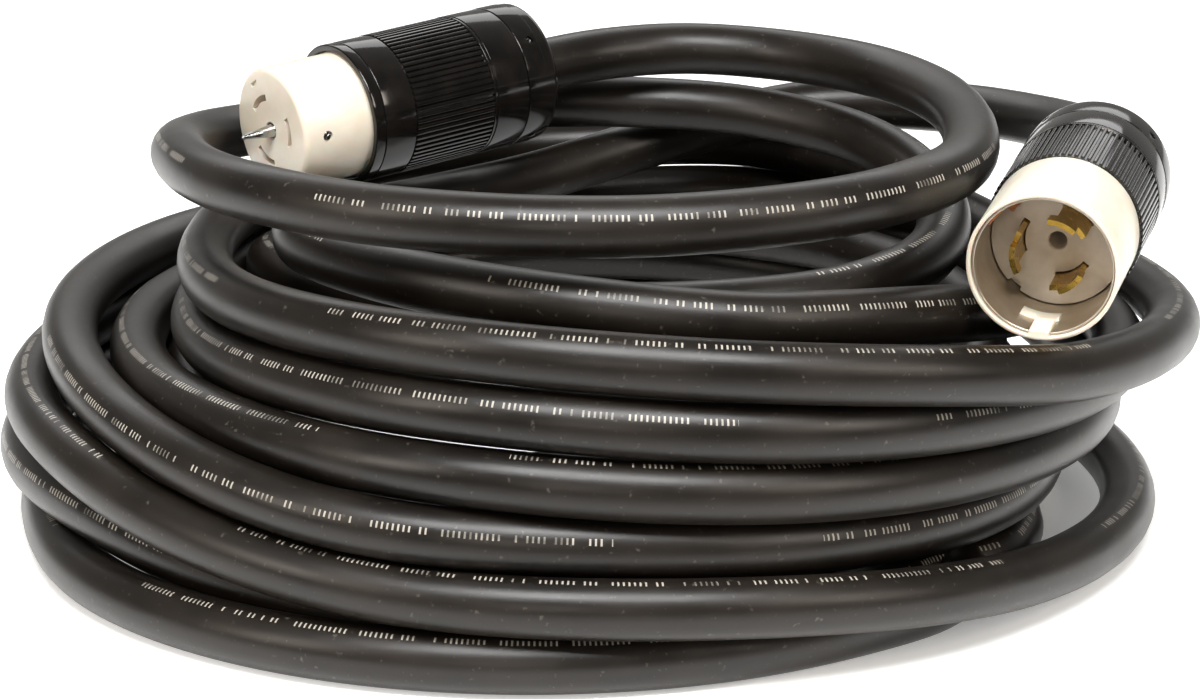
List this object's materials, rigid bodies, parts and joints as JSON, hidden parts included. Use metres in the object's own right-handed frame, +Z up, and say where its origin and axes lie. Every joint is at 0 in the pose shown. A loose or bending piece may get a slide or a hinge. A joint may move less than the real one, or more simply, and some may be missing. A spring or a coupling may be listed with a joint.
{
  "type": "shore power cord",
  "caption": "Coiled heavy shore power cord with a ribbed locking connector on one end and a shrouded locking plug on the other, each with a screw-on cable clamp nut.",
  "frame": {"origin": "centre of the bottom of the whole part's box, on the surface that the coil lies on, at the coil's centre", "axes": "+Z up, +X along the coil's wider side towards the plug, +Y towards the back of the coil; the plug's mouth opens towards -Y"},
  "size_m": [0.476, 0.464, 0.1889],
  "materials": {
    "cable_rubber": "satin black rubber jacket",
    "bush_rubber": "matt soft rubber",
    "black_nylon": "glossy moulded black nylon",
    "white_nylon": "semi-gloss moulded white nylon",
    "grey_nylon": "satin moulded beige-grey nylon",
    "brass": "stamped and polished brass",
    "bronze": "spring bronze strip",
    "plated_steel": "bright nickel plate",
    "shell_steel": "satin nickel-plated shell",
    "wire_x": "black wire insulation",
    "wire_y": "red wire insulation",
    "wire_w": "white wire insulation",
    "wire_g": "green wire insulation"
  },
  "bodies": {
    "cord": {"cable_coil": "cable_rubber", "connector_lead": "cable_rubber", "plug_lead": "cable_rubber", "connector_cable_bush": "bush_rubber", "connector_sleeve": "black_nylon", "connector_wire_x": "wire_x", "connector_terminal_screw_x": "brass", "connector_wire_y": "wire_y", "connector_terminal_screw_y": "brass", "connector_wire_w": "wire_w", "connector_terminal_screw_w": "brass", "connector_wire_g": "wire_g", "connector_terminal_screw_g": "plated_steel", "plug_cable_bush": "bush_rubber", "plug_sleeve": "black_nylon", "plug_wire_x": "wire_x", "plug_terminal_screw_x": "brass", "plug_wire_y": "wire_y", "plug_terminal_screw_y": "brass", "plug_wire_w": "wire_w", "plug_terminal_screw_w": "brass", "plug_wire_g": "wire_g", "plug_terminal_screw_g": "plated_steel", "connector_front_ring": "black_nylon", "connector_contact_carrier": "white_nylon", "connector_ground_contact": "brass", "connector_contact_x": "brass", "connector_contact_y": "brass", "connector_contact_w": "brass", "connector_pilot_pin": "plated_steel", "connector_ground_screw": "plated_steel", "plug_shroud": "white_nylon", "plug_ground_shell": "shell_steel", "plug_insulator": "grey_nylon", "plug_ground_spring": "bronze", "plug_blade_x": "brass", "plug_blade_y": "brass", "plug_blade_w": "brass"},
    "connector_nut": {"connector_clamp_nut": "black_nylon"},
    "connector_washer": {"connector_slip_washer": "white_nylon"},
    "plug_nut": {"plug_clamp_nut": "black_nylon"},
    "plug_washer": {"plug_slip_washer": "white_nylon"}
  },
  "joints": [
    {"name": "connector_nut_travel", "type": "slide", "parent": "cord", "child": "connector_washer", "axis": [0.7939, 0.6034, 0.0754], "range_m": [0, 0.0041]},
    {"name": "connector_nut_turn", "type": "hinge", "parent": "connector_washer", "child": "connector_nut", "pos_m": [-0.04035, 0.08167, 0.1594], "axis": [0.7939, 0.6034, 0.0754], "range_deg": [0, 720]},
    {"name": "plug_nut_travel", "type": "slide", "parent": "cord", "child": "plug_washer", "axis": [0.2899, 0.9537, 0.0798], "range_m": [0, 0.0041]},
    {"name": "plug_nut_turn", "type": "hinge", "parent": "plug_washer", "child": "plug_nut", "pos_m": [0.19118, -0.04513, 0.14486], "axis": [0.2899, 0.9537, 0.0798], "range_deg": [0, 720]}
  ],
  "couplings": [
    {"joint": "connector_nut_travel", "follows": "connector_nut_turn", "m_per_rad": 0.00031831},
    {"joint": "plug_nut_travel", "follows": "plug_nut_turn", "m_per_rad": 0.00031831}
  ]
}
